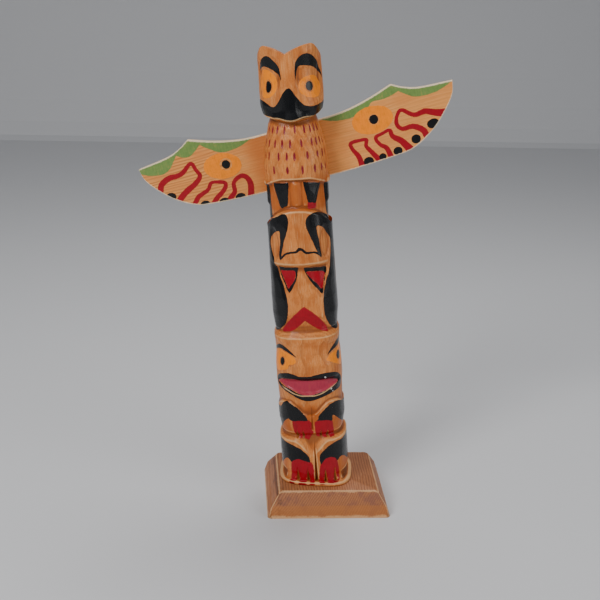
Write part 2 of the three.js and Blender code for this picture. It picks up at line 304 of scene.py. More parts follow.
def vee(angle, z, at, low, high, width, depth):
    """Depth of a V cut that is deepest at its low end and runs out at its high end."""
    taper = np.clip((high - z) / (high - low), 0, 1) * ramp(z, low - 1.2, low)
    reach = width * taper + 0.05
    return depth * taper * np.clip(1 - np.abs(angle - at) / reach, 0, 1)


def cuts_between_limbs(angle, z):
    depth = vee(angle, z, 4.5, 2.6, 36, 4.2, 4.5) + vee(angle, z, 3, 44, 67, 2.6, 1.4)
    for at in (-27, -10, 20, 36):
        depth = np.maximum(depth, vee(angle, z, at, 2.6, 15, 3.4, 3))
    for at in (-26, -15, 18, 30):
        depth = np.maximum(depth, vee(angle, z, at, 38, 45, 3, 2.4))
    return depth


def chance(i, j, seed):
    """A fixed number from 0 to 1 for each cell of a grid."""
    wave = np.sin(i * 127.1 + j * 311.7 + seed * 74.7) * 43758.5453
    return wave - np.floor(wave)


def scoops(x, y, width, height, seed):
    """Hollows left by single strokes of a knife: 0 in the middle of each, up to about 0.5 at its rim."""
    i, j = np.floor(x / width), np.floor(y / height)
    nearest = np.full_like(x, 9.0)
    for a in (-1, 0, 1):
        for b in (-1, 0, 1):
            ci, cj = i + a, j + b
            dx = x / width - ci - 0.2 - 0.6 * chance(ci, cj, seed)
            dy = y / height - cj - 0.2 - 0.6 * chance(ci, cj, seed + 3)
            nearest = np.minimum(nearest, dx * dx + dy * dy)
    return np.minimum(nearest, 0.6)


def knife_work(angle, z):
    """Depth of the small marks of the knife, a fraction of a millimetre."""
    x = angle * ARC
    slant = np.where(chance(np.floor(x / 9), np.floor(z / 11), 8) > 0.5, 0.5, -0.5)
    chest = ramp(z, 229, 231) * (1 - ramp(z, 264, 267))
    head = ramp(z, 289, 293)
    body = (1 - chest) * (1 - head)
    depth = 0.62 * chest * (0.35 - scoops(x + slant * z, z, 3.4, 7.5, 1))
    depth += 0.34 * head * (0.3 - scoops(x, z, 3.6, 26, 2))
    depth += 0.42 * body * (0.3 - scoops(x + 0.15 * z, z, 6.5, 13, 4))
    return depth * (1 - 0.6 * ramp(np.abs(angle), 95, 130)) * ramp(z, 2.4, 5)


def nicks(angle, z):
    """The short cuts of the bird's feathers."""
    depth = np.zeros_like(angle)
    for at, height in FEATHERS:
        across = (angle - at) * ARC / 1.05
        up = (z - height) / 3.1
        depth = np.maximum(depth, 0.55 * np.clip(1 - across * across - up * up, 0, 1))
    return depth


def carve(angle, row):
    """The pole's surface in its own frame, for arrays of angle from the front and station number."""
    off = np.abs(angle)
    heights = np.stack([mix(z(np.zeros_like(off)), z(off), reach_of_carving(off) if k else 1.0)
                        for k, (z, _) in enumerate(STATIONS)])
    depths = np.stack([cut(off) for _, cut in STATIONS])
    k = np.minimum(row.astype(int), len(STATIONS) - 2)
    share = row - k
    column = np.arange(len(angle))
    z = mix(heights[k, column], heights[k + 1, column], share)
    cut = mix(depths[k, column], depths[k + 1, column], share)
    relief = fin_relief(off, z) + tail_opening(off, z) + leg_relief(off, z)
    relief = relief + cuts_between_limbs(angle, z) + knife_work(angle, z) + nicks(angle, z)
    depth = np.where(k < 2, cut, (cut + relief) * reach_of_carving(off))
    return z, blank_section(angle, z) - depth


# ------------------------------------------------------------------ building the pole

def row_numbers():
    rows = []
    for k in range(len(STATIONS) - 1):
        off = np.array([30.0])
        rise = float((STATIONS[k + 1][0](off) - STATIONS[k][0](off))[0])
        steps = max(2, round(rise / POLE_ROW_STEP))
        rows += [k + step / steps for step in range(steps)]
    return np.array(rows + [len(STATIONS) - 1.0])


def rings_of_pole():
    """Station number and share of the radius of every ring, from the sole's middle to the crown's."""
    rows = row_numbers()
    sole = np.linspace(0.3, 0.94, 4)
    crown = np.linspace(0.97, 0.08, 16)
    row = np.concatenate([np.zeros(len(sole)), rows, np.full(len(crown), rows[-1])])
    share = np.concatenate([sole, np.ones(len(rows)), crown])
    return row, share


def place_on_pole(angle, z, radius):
    x = radius * np.sin(np.radians(angle))
    y = -radius * np.cos(np.radians(angle))
    sunk = plinth_level(x, y) * (1 - ramp(z, 0, 30))
    crown = (crown_height(x, y) - POLE_LENGTH) * ramp(z, 296, POLE_LENGTH)
    return np.stack([x, y, z + sunk + crown + GLUE], axis=-1)


def coordinates(bm):
    return np.array([vert.co[:] for vert in bm.verts])


def move_verts(bm, places):
    for vert, place in zip(bm.verts, places):
        vert.co = place


def softened(values, across, along):
    """Values on the rings by columns, averaged over a few neighbours each way."""
    total = np.zeros_like(values)
    for step in range(-across, across + 1):
        total += np.roll(values, step, axis=1)
    values = total / (2 * across + 1)
    total = np.zeros_like(values)
    padded = np.pad(values, ((along, along), (0, 0)), mode="edge")
    for step in range(2 * along + 1):
        total += padded[step:step + len(values)]
    return total / (2 * along + 1)


def pole_mesh():
    ring_row, ring_share = rings_of_pole()
    rings = len(ring_row)
    turn = np.arange(POLE_COLUMNS) * 360 / POLE_COLUMNS - 180
    angle = turn - np.degrees(CROWDING) * np.sin(np.radians(turn))
    z = np.zeros((rings, POLE_COLUMNS))
    radius = np.zeros((rings, POLE_COLUMNS))
    for k in range(rings):
        z[k], radius[k] = carve(angle, np.full(POLE_COLUMNS, ring_row[k]))
    ridge = radius - softened(radius, 3, 3)
    hollow = softened(radius, 12, 9) - radius
    places = place_on_pole(angle[None, :], z, radius * ring_share[:, None])

    bm = bmesh.new()
    bmesh.ops.create_uvsphere(bm, u_segments=POLE_COLUMNS, v_segments=rings + 1, radius=1)
    ridges = bm.verts.layers.float.new("ridge")
    hollows = bm.verts.layers.float.new("hollow")
    for vert in bm.verts:
        ring = round((rings + 1) * (1 - math.acos(max(-1.0, min(1.0, vert.co.z))) / math.pi)) - 1
        if ring < 0:
            vert.co = Vector(places[0].mean(axis=0))
        elif ring >= rings:
            vert.co = Vector(places[-1].mean(axis=0))
        else:
            column = round(math.degrees(math.atan2(vert.co.x, -vert.co.y)) * POLE_COLUMNS / 360)
            column = (column + POLE_COLUMNS // 2) % POLE_COLUMNS
            vert[ridges] = ridge[ring, column]
            vert[hollows] = hollow[ring, column]
            vert.co = Vector(places[ring, column])
    return bm


def cut_notch(bm):
    """The slanted notch across the back: the walls are cut in, then the wood behind them pared off."""
    tilt = math.radians(WING_TILT)
    across = Vector((-math.sin(tilt), 0, math.cos(tilt)))
    middle = Vector((0, 0, WING_HEIGHT))
    half = WING_CHORD / 2 + GLUE
    wall = 0.06
    for side in (-1, 1):
        for inset in (0, wall):
            everything = bm.verts[:] + bm.edges[:] + bm.faces[:]
            bmesh.ops.bisect_plane(bm, geom=everything, dist=1e-5,
                                   plane_co=middle + across * side * (half - inset), plane_no=across)
    for vert in bm.verts:
        if abs((vert.co - middle).dot(across)) < half - wall / 2:
            vert.co.y = min(vert.co.y, NOTCH_DEPTH_Y)


def set_attribute(mesh, name, values):
    layer = mesh.attributes.get(name) or mesh.attributes.new(name, "FLOAT", "POINT")
    layer.data.foreach_set("value", np.asarray(values, np.float32))


def pole_to_object():
    place = Matrix.Translation(Vector((FOOT_X, FOOT_Y, PLINTH_HEIGHT))) @ POLE_TURN.to_4x4()
    return Matrix.Scale(MM, 4) @ place


def wing_to_object():
    about_y = Matrix.Rotation(math.radians(-WING_TILT), 4, "Y")
    return pole_to_object() @ Matrix.Translation((0, 0, WING_HEIGHT)) @ about_y


def finish_piece(bm, name, transform, node, material):
    """Turns a bmesh in millimetres into the finished object, in place of its CAD node."""
    bmesh.ops.transform(bm, matrix=transform, verts=bm.verts)
    mesh = bpy.data.meshes.new(name)
    bm.to_mesh(mesh)
    bm.free()
    mesh.shade_smooth()
    mesh.materials.append(material)
    piece = bpy.data.objects.new(name, mesh)
    bpy.context.scene.collection.objects.link(piece)
    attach(piece, "root")
    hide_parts(node)
    return piece


def make_pole():
    bm = pole_mesh()
    cut_notch(bm)
    places = coordinates(bm)
    bmesh.ops.recalc_face_normals(bm, faces=bm.faces)
    piece = finish_piece(bm, "carved_pole", pole_to_object(), "pole", pole_look())
    for name, values in paint_pole(places).items():
        set_attribute(piece.data, name, values)


# ------------------------------------------------------------------ the wing board

WING_TOP = (
    smooth_line([(0, 20), (28, 19.6), (43, 21.2), (58, 24.7), (WING_SHOULDER, 29.8)]),
    smooth_line([(WING_SHOULDER, 29.8), (81, 25.6), (92, 22.2), (WING_TIP, 20.3)]),
)
WING_BOTTOM = smooth_line([(0, -20), (35, -20.2), (69, -18.4), (81, -15.8), (93, -9), (103, 0),
                           (111.5, 11), (WING_TIP, 20.3)])


def wing_edges(u):
    """Heights of the board's top and bottom edge at a distance u along it."""
    reach = np.where(u > 0, RIGHT_REACH, LEFT_REACH)
    along = np.abs(u) / reach
    outer = np.maximum(0, (along - WING_SHOULDER) / (WING_TIP - WING_SHOULDER))
    sag = np.where(u > 0, RIGHT_DROOP, LEFT_DROOP) * outer
    top_line = np.vstack(WING_TOP)
    top = np.interp(along, top_line[:, 0], top_line[:, 1])
    bottom = np.interp(along, WING_BOTTOM[:, 0], WING_BOTTOM[:, 1])
    return top - sag, bottom - sag


WING_COLUMNS = 400
WING_ROWS = 84


def make_wing_board():
    bm = bmesh.new()
    bmesh.ops.create_grid(bm, x_segments=WING_COLUMNS, y_segments=WING_ROWS, size=1)
    plan = coordinates(bm)
    tips = WING_TIP * np.array([LEFT_REACH, RIGHT_REACH])
    along = np.sign(plan[:, 0]) * (1 - (1 - np.abs(plan[:, 0])) ** 1.15)
    u = along * np.where(along > 0, tips[1], tips[0])
    top, bottom = wing_edges(u)
    v = mix(bottom, top, (plan[:, 1] + 1) / 2)
    move_verts(bm, np.stack([u, np.zeros_like(u), v], axis=-1))
    bmesh.ops.remove_doubles(bm, verts=bm.verts, dist=1e-4)
    bmesh.ops.solidify(bm, geom=bm.faces[:], thickness=WING_THICKNESS)
    bmesh.ops.recalc_face_normals(bm, faces=bm.faces)
    front = min(vert.co.y for vert in bm.verts)
    bmesh.ops.translate(bm, verts=bm.verts, vec=(0, NOTCH_DEPTH_Y + GLUE - front, 0))
    places = coordinates(bm)
    piece = finish_piece(bm, "wings", wing_to_object(), "wing_board", wing_look())
    for name, values in paint_wings(places).items():
        set_attribute(piece.data, name, values)


# ------------------------------------------------------------------ the plinth

def make_plinth():
    bm = bmesh.new()
    bmesh.ops.create_cube(bm, size=1)
    bmesh.ops.scale(bm, vec=(PLINTH_WIDTH, PLINTH_DEPTH, PLINTH_HEIGHT), verts=bm.verts)
    bmesh.ops.translate(bm, vec=(0, 0, PLINTH_HEIGHT / 2), verts=bm.verts)
    side_height = PLINTH_HEIGHT - PLINTH_SLOPE
    everything = bm.verts[:] + bm.edges[:] + bm.faces[:]
    bmesh.ops.bisect_plane(bm, geom=everything, dist=1e-5, plane_co=(0, 0, side_height), plane_no=(0, 0, 1))
    for vert in bm.verts:
        if vert.co.z > PLINTH_HEIGHT - 0.1:
            vert.co.x -= math.copysign(PLINTH_INSET, vert.co.x)
            vert.co.y -= math.copysign(PLINTH_INSET, vert.co.y)
    upright = [edge for edge in bm.edges if abs(edge.verts[0].co.z - edge.verts[1].co.z) > 1]
    bmesh.ops.bevel(bm, geom=upright, offset=PLINTH_CORNER, offset_type="OFFSET", segments=6, profile=0.5,
                    affect="EDGES", material=-1, clamp_overlap=True)
    rims = [edge for edge in bm.edges if edge.calc_face_angle(0) > 0.5 and edge.calc_length() > 8]
    bmesh.ops.bevel(bm, geom=rims, offset=0.7, offset_type="OFFSET", segments=3, profile=0.5,
                    affect="EDGES", material=-1, clamp_overlap=True)
    bmesh.ops.recalc_face_normals(bm, faces=bm.faces)
    finish_piece(bm, "wooden_plinth", Matrix.Scale(MM, 4), "plinth", plinth_look())


# ------------------------------------------------------------------ painted shapes

def smooth_loop(points, steps=6):
    """Closed Catmull-Rom line through a few points."""
    points = [tuple(point) for point in points]
    whole = smooth_line([points[-1], *points, points[0], points[1]], steps)
    return whole[steps:-steps - 1]


def to_line(x, y, a, b):
    """Distance from each place to the line from a to b, and how far along it the nearest point is."""
    run_x, run_y = b[0] - a[0], b[1] - a[1]
    along = ((x - a[0]) * run_x + (y - a[1]) * run_y) / max(run_x ** 2 + run_y ** 2, 1e-9)
    along = np.clip(along, 0, 1)
    return np.hypot(x - a[0] - along * run_x, y - a[1] - along * run_y), along


class Coat:
    """One colour of paint: how many millimetres each place lies inside its edge."""

    def __init__(self, x, y, scale=1.0):
        self.x, self.y, self.scale = x * scale, y, scale
        self.inside = np.full(len(x), -4.0)

    def reach(self, points, measure):
        """Measures only the places near the points."""
        low, high = points.min(axis=0) - 4, points.max(axis=0) + 4
        near = (self.x > low[0]) & (self.x < high[0]) & (self.y > low[1]) & (self.y < high[1])
        found = np.full(len(self.x), -4.0)
        found[near] = measure(self.x[near], self.y[near])
        return found

    def shape_of(self, points):
        points = smooth_loop(points) * (self.scale, 1)

        def measure(x, y):
            nearest = np.full(len(x), 9.0)
            inside = np.zeros(len(x), bool)
            for a, b in zip(points, np.roll(points, -1, axis=0)):
                nearest = np.minimum(nearest, to_line(x, y, a, b)[0])
                crossed = (a[1] > y) != (b[1] > y)
                rise = b[1] - a[1] or 1e-9
                inside ^= crossed & (x < a[0] + (y - a[1]) * (b[0] - a[0]) / rise)
            return np.where(inside, nearest, -nearest)

        return self.reach(points, measure)

    def shape(self, points):
        self.inside = np.maximum(self.inside, self.shape_of(points))

    def leave(self, points):
        """Leaves the inside of an outline unpainted."""
        self.inside = np.minimum(self.inside, -self.shape_of(points))

    def stroke(self, points, widths, steps=6):
        """A brush stroke along points, as wide as given at each of them."""
        line = smooth_line(points, steps) * (self.scale, 1)
        half = np.interp(np.arange(len(line)), np.arange(len(points)) * steps, widths) / 2

        def measure(x, y):
            found = np.full(len(x), -4.0)
            for k in range(len(line) - 1):
                gap, along = to_line(x, y, line[k], line[k + 1])
                found = np.maximum(found, mix(half[k], half[k + 1], along) - gap)
            return found

        self.inside = np.maximum(self.inside, self.reach(line, measure))

    def oval_of(self, centre, half_width, half_height, turn=0):
        c, s = math.cos(math.radians(turn)), math.sin(math.radians(turn))
        x, y = self.x - centre[0] * self.scale, self.y - centre[1]
        across, up = (x * c + y * s) / half_width, (y * c - x * s) / half_height
        size = np.hypot(across, up)
        return (1 - size) * min(half_width, half_height)

    def oval(self, centre, half_width, half_height, turn=0):
        self.inside = np.maximum(self.inside, self.oval_of(centre, half_width, half_height, turn))

    def leave_oval(self, centre, half_width, half_height, turn=0):
        self.inside = np.minimum(self.inside, -self.oval_of(centre, half_width, half_height, turn))


# Outlines on the pole: angle from the front in degrees, height in millimetres. Most of the figures in
# these outlines, and in those on the wings, came from a separate measuring program. They still have to
# be written again by hand from named sizes.
BEAK = [(-100, 281.5), (-61, 282), (-44, 280.3), (-32.2, 278), (-24.6, 279.5), (-17.3, 283.7), (-8.6, 288.3),
        (-1.7, 290), (4.2, 288.9), (11.9, 284.3), (24.1, 279), (33.2, 277.4), (44, 277.1), (58.6, 277.9),
        (78, 278.7), (100, 279.5), (105, 275), (100, 271.5), (70, 271.6), (41.5, 269.8), (23.6, 268.9),
        (7.4, 268), (-4.1, 267.8), (-17.7, 268.9), (-36, 270.7), (-48.6, 271.6), (-70, 272.3), (-100, 272.5),
        (-105, 277)]
BIRD_BROWS = (
    [(-76, 301.2), (-61.4, 305.9), (-51.7, 309.2), (-40.9, 311.2), (-32, 310.6), (-22.1, 306.8),
     (-16.4, 303.2), (-13.6, 299.1), (-13.4, 295), (-17.9, 298.4), (-23.4, 300.1), (-30.9, 302),
     (-39.7, 303.7), (-51, 304), (-69.6, 302)],
    [(12.5, 295), (11.8, 300.4), (14.4, 306.1), (20.9, 309.7), (30.5, 311.5), (41, 311.1), (52.3, 308.5),
     (68.1, 303.5), (80.2, 297.6), (84, 293.5), (77, 296.6), (70.3, 298.6), (54.7, 301.6), (40.2, 303.4),
     (26, 304), (20.1, 303.2), (17, 301.2), (14.8, 297.9)],
)
BIRD_LEGS = (
    [(-46.3, 225.3), (-40, 226), (-20, 226.4), (-13.7, 226.2), (-15, 219), (-17.5, 211.2), (-25, 209.6),
     (-33.4, 209.1), (-40, 217)],
    [(15.2, 226.2), (20, 226.5), (47, 225), (53.5, 224), (47, 218), (40.2, 211.5), (31, 211.8),
     (22.6, 212.6), (19, 219)],
)
BIRD_SIDES = (
    [(-84, 224), (-67, 223.5), (-62.5, 214), (-58.5, 204), (-64, 201), (-80, 200), (-100, 204), (-104, 214),
     (-100, 222)],
    [(67, 222.5), (84, 223), (100, 221), (104, 212), (98, 203), (78, 200), (68.5, 203), (66.5, 212)],
)
BIRD_FOOT = [(22.6, 212.8), (31, 212), (40, 211.8), (38.8, 208), (30, 207.4), (22.2, 208)]
WHALE_SIDES = (
    [(-104, 190), (-90, 195.5), (-75, 198.2), (-60, 200.4), (-42, 202.6), (-27.4, 205.2), (-20.2, 205.1),
     (-17.2, 202.4), (-17, 198.2), (-20.4, 191.9), (-26, 186.2), (-31.4, 178.8), (-35.9, 172.8),
     (-38.1, 175.7), (-37.5, 179), (-34.1, 184.5), (-33.6, 190.2), (-34.2, 193), (-41, 192.6), (-49, 190.9),
     (-57.2, 187.9), (-59.8, 182.7), (-56.7, 176.4), (-50.8, 171.9), (-48.5, 165.9), (-43.6, 160.4),
     (-37.1, 154.9), (-32.9, 149.4), (-29.2, 145.2), (-28, 137.9), (-32.2, 128.7), (-43.4, 122.6),
     (-57.3, 118.9), (-70, 117.8), (-88, 119), (-97, 124), (-99, 136), (-93, 150), (-96, 168), (-104, 180)],
    [(104, 190), (90, 196.4), (75, 199.8), (60, 202.3), (42, 204.7), (26.5, 205), (18.2, 202.8),
     (14.3, 199.7), (14.6, 195.5), (18.7, 190.5), (24.7, 184.5), (29.4, 179.2), (34, 175.4), (38, 172.8),
     (39.4, 176.5), (38.8, 180.5), (36, 185.9), (32.8, 191.9), (32.8, 195.4), (38.9, 195.3), (49.6, 192.5),
     (58.3, 187.4), (62, 183.5), (62.3, 179.1), (61, 174.9), (57.7, 169.5), (55.1, 164), (49.5, 158.7),
     (44.4, 153.3), (39.7, 148), (36.8, 142.5), (36.9, 136.4), (38.2, 130.4), (47.1, 123.3), (60.6, 118),
     (72, 116.9), (88, 118), (96, 122), (98, 132), (90, 146), (88, 158), (94, 168), (104, 178)],
)
WHALE_LINE = [(-35.5, 172.8), (-32.3, 174.2), (-25.9, 176.8), (-16.7, 178), (-6, 178.5), (-0.4, 180.3),
              (4.9, 179.9), (11.5, 177.6), (20.2, 177.5), (27.2, 177.3), (34, 175.4), (37.4, 174.1)]
WHALE_EYE_RIMS = (
    [(-43, 167.4), (-31, 166.6), (-15.9, 167.1), (-4.6, 167.1), (-5.9, 164.1), (-8.2, 159.1),
     (-14.7, 154.1), (-22.8, 149), (-27.7, 150.3), (-34, 155), (-41.2, 161.2)],
    [(6.4, 166.6), (18.2, 166.2), (38.1, 165.6), (49.7, 165), (46.2, 158.9), (41, 152.2), (36.3, 146.8),
     (31.5, 149.1), (21.4, 154), (12.9, 159.4), (7.9, 163.1)],
)
WHALE_EYES = (
    [(-41.1, 164.2), (-32.8, 164.2), (-13.5, 164.5), (-10.8, 161.9), (-13.3, 157.7), (-22.4, 153.2),
     (-26.2, 151.6), (-30.9, 155.1), (-36.9, 159.9)],
    [(10.8, 163.4), (26.1, 163.1), (45.3, 161.8), (42.2, 156.3), (37.2, 150.2), (29.3, 154.2),
     (18.7, 158.4), (12.4, 161.5)],
)
WHALE_MOUTH = [(1.7, 138.4), (-1, 137.8), (-10, 134.8), (-26.6, 128.8), (-41.1, 122.6), (-46, 119.3),
               (-36, 119), (-23.6, 120.1), (-11.2, 123.3), (0, 127), (1.7, 127.4), (3.4, 127),
               (11.1, 124.6), (26.2, 120.5), (36.8, 118.5), (45, 118), (42.6, 122), (30.1, 128.5),
               (15.7, 134.2), (4, 137.8)]
BEAR_BROWS = (
    [(-74, 104.4), (-67.2, 106), (-53.3, 109), (-42, 108.8), (-31.9, 106.5), (-23.1, 103.5), (-17.5, 100.8),
     (-27.1, 102.6), (-38.8, 104.9), (-51.5, 105.8), (-68.5, 103.7)],
    [(92, 111), (72.8, 109.4), (62, 108.6), (54.8, 107.3), (44, 104.1), (35.5, 99.9), (43.8, 102),
     (56.9, 103.9), (70, 105), (90, 105.5)],
)
BEAR_EYES = (
    [(-80, 102.5), (-66.5, 103.2), (-51.7, 105.2), (-39, 104.1), (-27.2, 102.1), (-20.7, 100.2),
     (-18.6, 97), (-25, 95.4), (-30.8, 95), (-33, 91.9), (-42.2, 90.5), (-55.7, 88.8), (-66, 90), (-76, 96)],
    [(88, 105), (75, 105), (63.9, 102.9), (45.4, 100.9), (36.5, 99), (34.4, 97), (42.3, 95.3),
     (58.7, 91.3), (75.6, 88.6), (84, 91), (90, 98)],
)
LIPS = [(-64, 82.5), (-55, 86), (-40.6, 88.3), (-30, 88.7), (-20.9, 87.5), (-12.8, 86.3), (2.6, 86.1),
        (13, 87.1), (29.5, 88.1), (44.1, 87.3), (56.7, 84.9), (66, 81), (70, 76), (63.2, 73.1),
        (46.7, 72.4), (30.8, 70.6), (17.2, 68.8), (3.4, 67.2), (-7, 67.4), (-16.9, 69), (-29.9, 72.4),
        (-43.3, 75), (-56, 77.1), (-62.5, 79.6)]
TONGUE = [(-59, 80.6), (-41, 83.4), (-25.9, 83.8), (-13, 82.4), (5.8, 82), (22.1, 82.5), (39.2, 81.8),
          (55.5, 79.8), (46.3, 77.4), (31.9, 74.9), (18.1, 72.9), (3.9, 71.5), (-6.4, 71.6),
          (-17, 72.8), (-31.8, 75.7), (-46.3, 78.2)]
ARMS = (
    [(-100, 58.5), (-80, 60), (-57.2, 60.2), (-45.3, 65.4), (-38.2, 66.4), (-28, 64.2), (-19, 61),
     (-12.1, 57.7), (-6.5, 54), (-4.6, 51.8), (-8.5, 51.4), (-19.3, 51.8), (-29.8, 51.2), (-35.8, 52),
     (-38.5, 52.7), (-46.2, 50.2), (-55.4, 46.2), (-62, 43.4), (-75, 42), (-92, 42), (-104, 45), (-108, 52)],
    [(8, 51.4), (13.2, 52.8), (14.5, 55.2), (22.2, 59), (34.4, 63.4), (48.5, 64.4), (62, 62.6), (76, 60.4),
     (92, 59), (104, 55), (108, 48), (102, 43), (88, 41.8), (70, 44.3), (54.7, 48.4), (42.3, 53.4),
     (37.6, 54), (36.9, 50.2), (28, 51.2), (16.5, 51.6)],
)
HANDS = (
    [(-30.5, 52.2), (-19.4, 52.8), (-8, 52.6), (-2.4, 52), (2, 49.1), (3.6, 44.5), (4, 41.2), (-1.2, 38),
     (-5.5, 35.8), (-11, 36.8), (-17.1, 37), (-23.3, 37.6), (-29.2, 39.9), (-31.3, 45.2)],
    [(7.6, 50.4), (16.5, 52), (28, 51.8), (36.7, 50.6), (39.7, 44.8), (43, 38), (35.6, 37), (30.2, 37.2),
     (22.6, 37.6), (17.9, 37.6), (14, 37.8), (8.6, 39), (7.2, 45.3)],
)
SHINS = (
    [(-102, 33), (-75, 35.2), (-55.4, 34.6), (-43, 33.5), (-31.6, 32.2), (-20.2, 29.9), (-12.5, 26.6),
     (-6.6, 22.6), (-4.6, 19), (-6.9, 18.6), (-18.3, 20.5), (-24.7, 21.3), (-32.6, 19.9), (-36.5, 18.2),
     (-43.3, 20.6), (-51.8, 18.6), (-58.8, 15.6), (-70, 12.8), (-90, 11.4), (-104, 14), (-108, 24)],
    [(11.6, 22.7), (13.5, 25.1), (19.5, 28.2), (27.9, 31.2), (38.4, 33.2), (54, 33.6), (79.7, 34.4),
     (100, 33), (108, 24), (104, 15), (88, 12.4), (72, 14), (60, 18), (54.1, 19.4), (47, 19.8),
     (41, 17.7), (36.9, 20.4), (28.5, 21.9), (20.4, 20.7), (14.2, 17), (12.2, 18)],
)
FEET = (
    [(-36.5, 18.8), (-32.6, 20.8), (-24.7, 22.2), (-18.3, 21.4), (-6.9, 19.7), (-1.9, 17.9), (0.9, 13.1),
     (1.8, 5.9), (1.4, 1.4), (-9, 1.2), (-20, 1.2), (-30.6, 1.2), (-37.5, 2), (-38, 9.5)],
    [(8.6, 1.4), (8.2, 5.4), (10.5, 12.1), (12.8, 17.7), (20.4, 21.6), (28.5, 22.8), (36.9, 21.3),
     (41, 17.8), (42.5, 13.4), (43, 5.9), (41, 1.8), (30.8, 1.2), (20, 1.2)],
)


def paint_pole(places):
    """How far each place of the pole lies inside each colour, in millimetres."""
    angle = np.degrees(np.arctan2(places[:, 0], -places[:, 1]))
    z = places[:, 2]
    names = ("orange", "crimson", "rose", "maroon", "black", "chip", "stain")
    coats = {name: Coat(angle, z, ARC) for name in names}

    orange = coats["orange"]
    orange.oval((-48, 292.9), 10.6, 9.4)
    orange.oval((45.5, 289.7), 11.6, 7.3, -4)
    orange.leave_oval((-41.5, 291), 3.7, 4.7)
    orange.leave_oval((39.8, 290.2), 4.1, 4)
    for eye in BEAR_EYES:
        orange.shape(eye)
    orange.leave_oval((-44.5, 96.9), 2.7, 3.6)
    orange.leave_oval((65, 97.6), 3.8, 3.8)

    crimson = coats["crimson"]
    for outline in (BIRD_FOOT, WHALE_MOUTH, *WHALE_EYES, *HANDS, *FEET):
        crimson.shape(outline)
    crimson.inside = np.minimum(crimson.inside, 0.9 - 2 * cuts_between_limbs(angle, z))

    coats["rose"].shape(TONGUE)
    for at, height in FEATHERS:
        coats["maroon"].oval((at, height), 0.95, 2.9)

    black = coats["black"]
    for outline in (*WHALE_EYE_RIMS, LIPS):
        black.shape(outline)
    for outline in (*WHALE_EYES, TONGUE):
        black.leave(outline)
    for outline in (BEAK, *BIRD_BROWS, *BIRD_LEGS, *BIRD_SIDES, *WHALE_SIDES, *BEAR_BROWS, *ARMS, *SHINS):
        black.shape(outline)
    black.stroke(WHALE_LINE, [0.8, 1.3, 1.5, 1.5, 1.6, 2.2, 1.9, 1.6, 1.5, 1.5, 1.4, 1])
    black.oval((-41.5, 291), 2.9, 3.9)
    black.oval((39.8, 290.2), 3.3, 3.2)
    black.oval((-44.5, 96.9), 2.1, 3)
    black.oval((65, 97.6), 3.2, 3.2)

    for centre, across, up in (((30.3, 84.3), 0.5, 0.9), ((39, 75), 0.8, 0.8), ((42, 72.9), 0.6, 0.7)):
        coats["chip"].oval(centre, across, up, 25)

    between_legs = ramp(z, 205, 208) * (1 - ramp(z, 226, 228)) * (1 - ramp(np.abs(angle), 70, 84))
    belly = ramp(z, 44, 50) * (1 - ramp(z, 60, 68)) * (1 - ramp(np.abs(angle - 3), 8, 18))
    elbows = ramp(z, 40, 43) * (1 - ramp(z, 52, 55)) * ramp(np.abs(angle), 32, 38)
    heels = ramp(z, 2.5, 4) * (1 - ramp(z, 20, 23)) * ramp(np.abs(angle), 40, 44) * 0.8
    coats["stain"].inside = np.maximum(np.maximum(between_legs, belly), np.maximum(elbows, heels))
    return {name: coat.inside for name, coat in coats.items()}


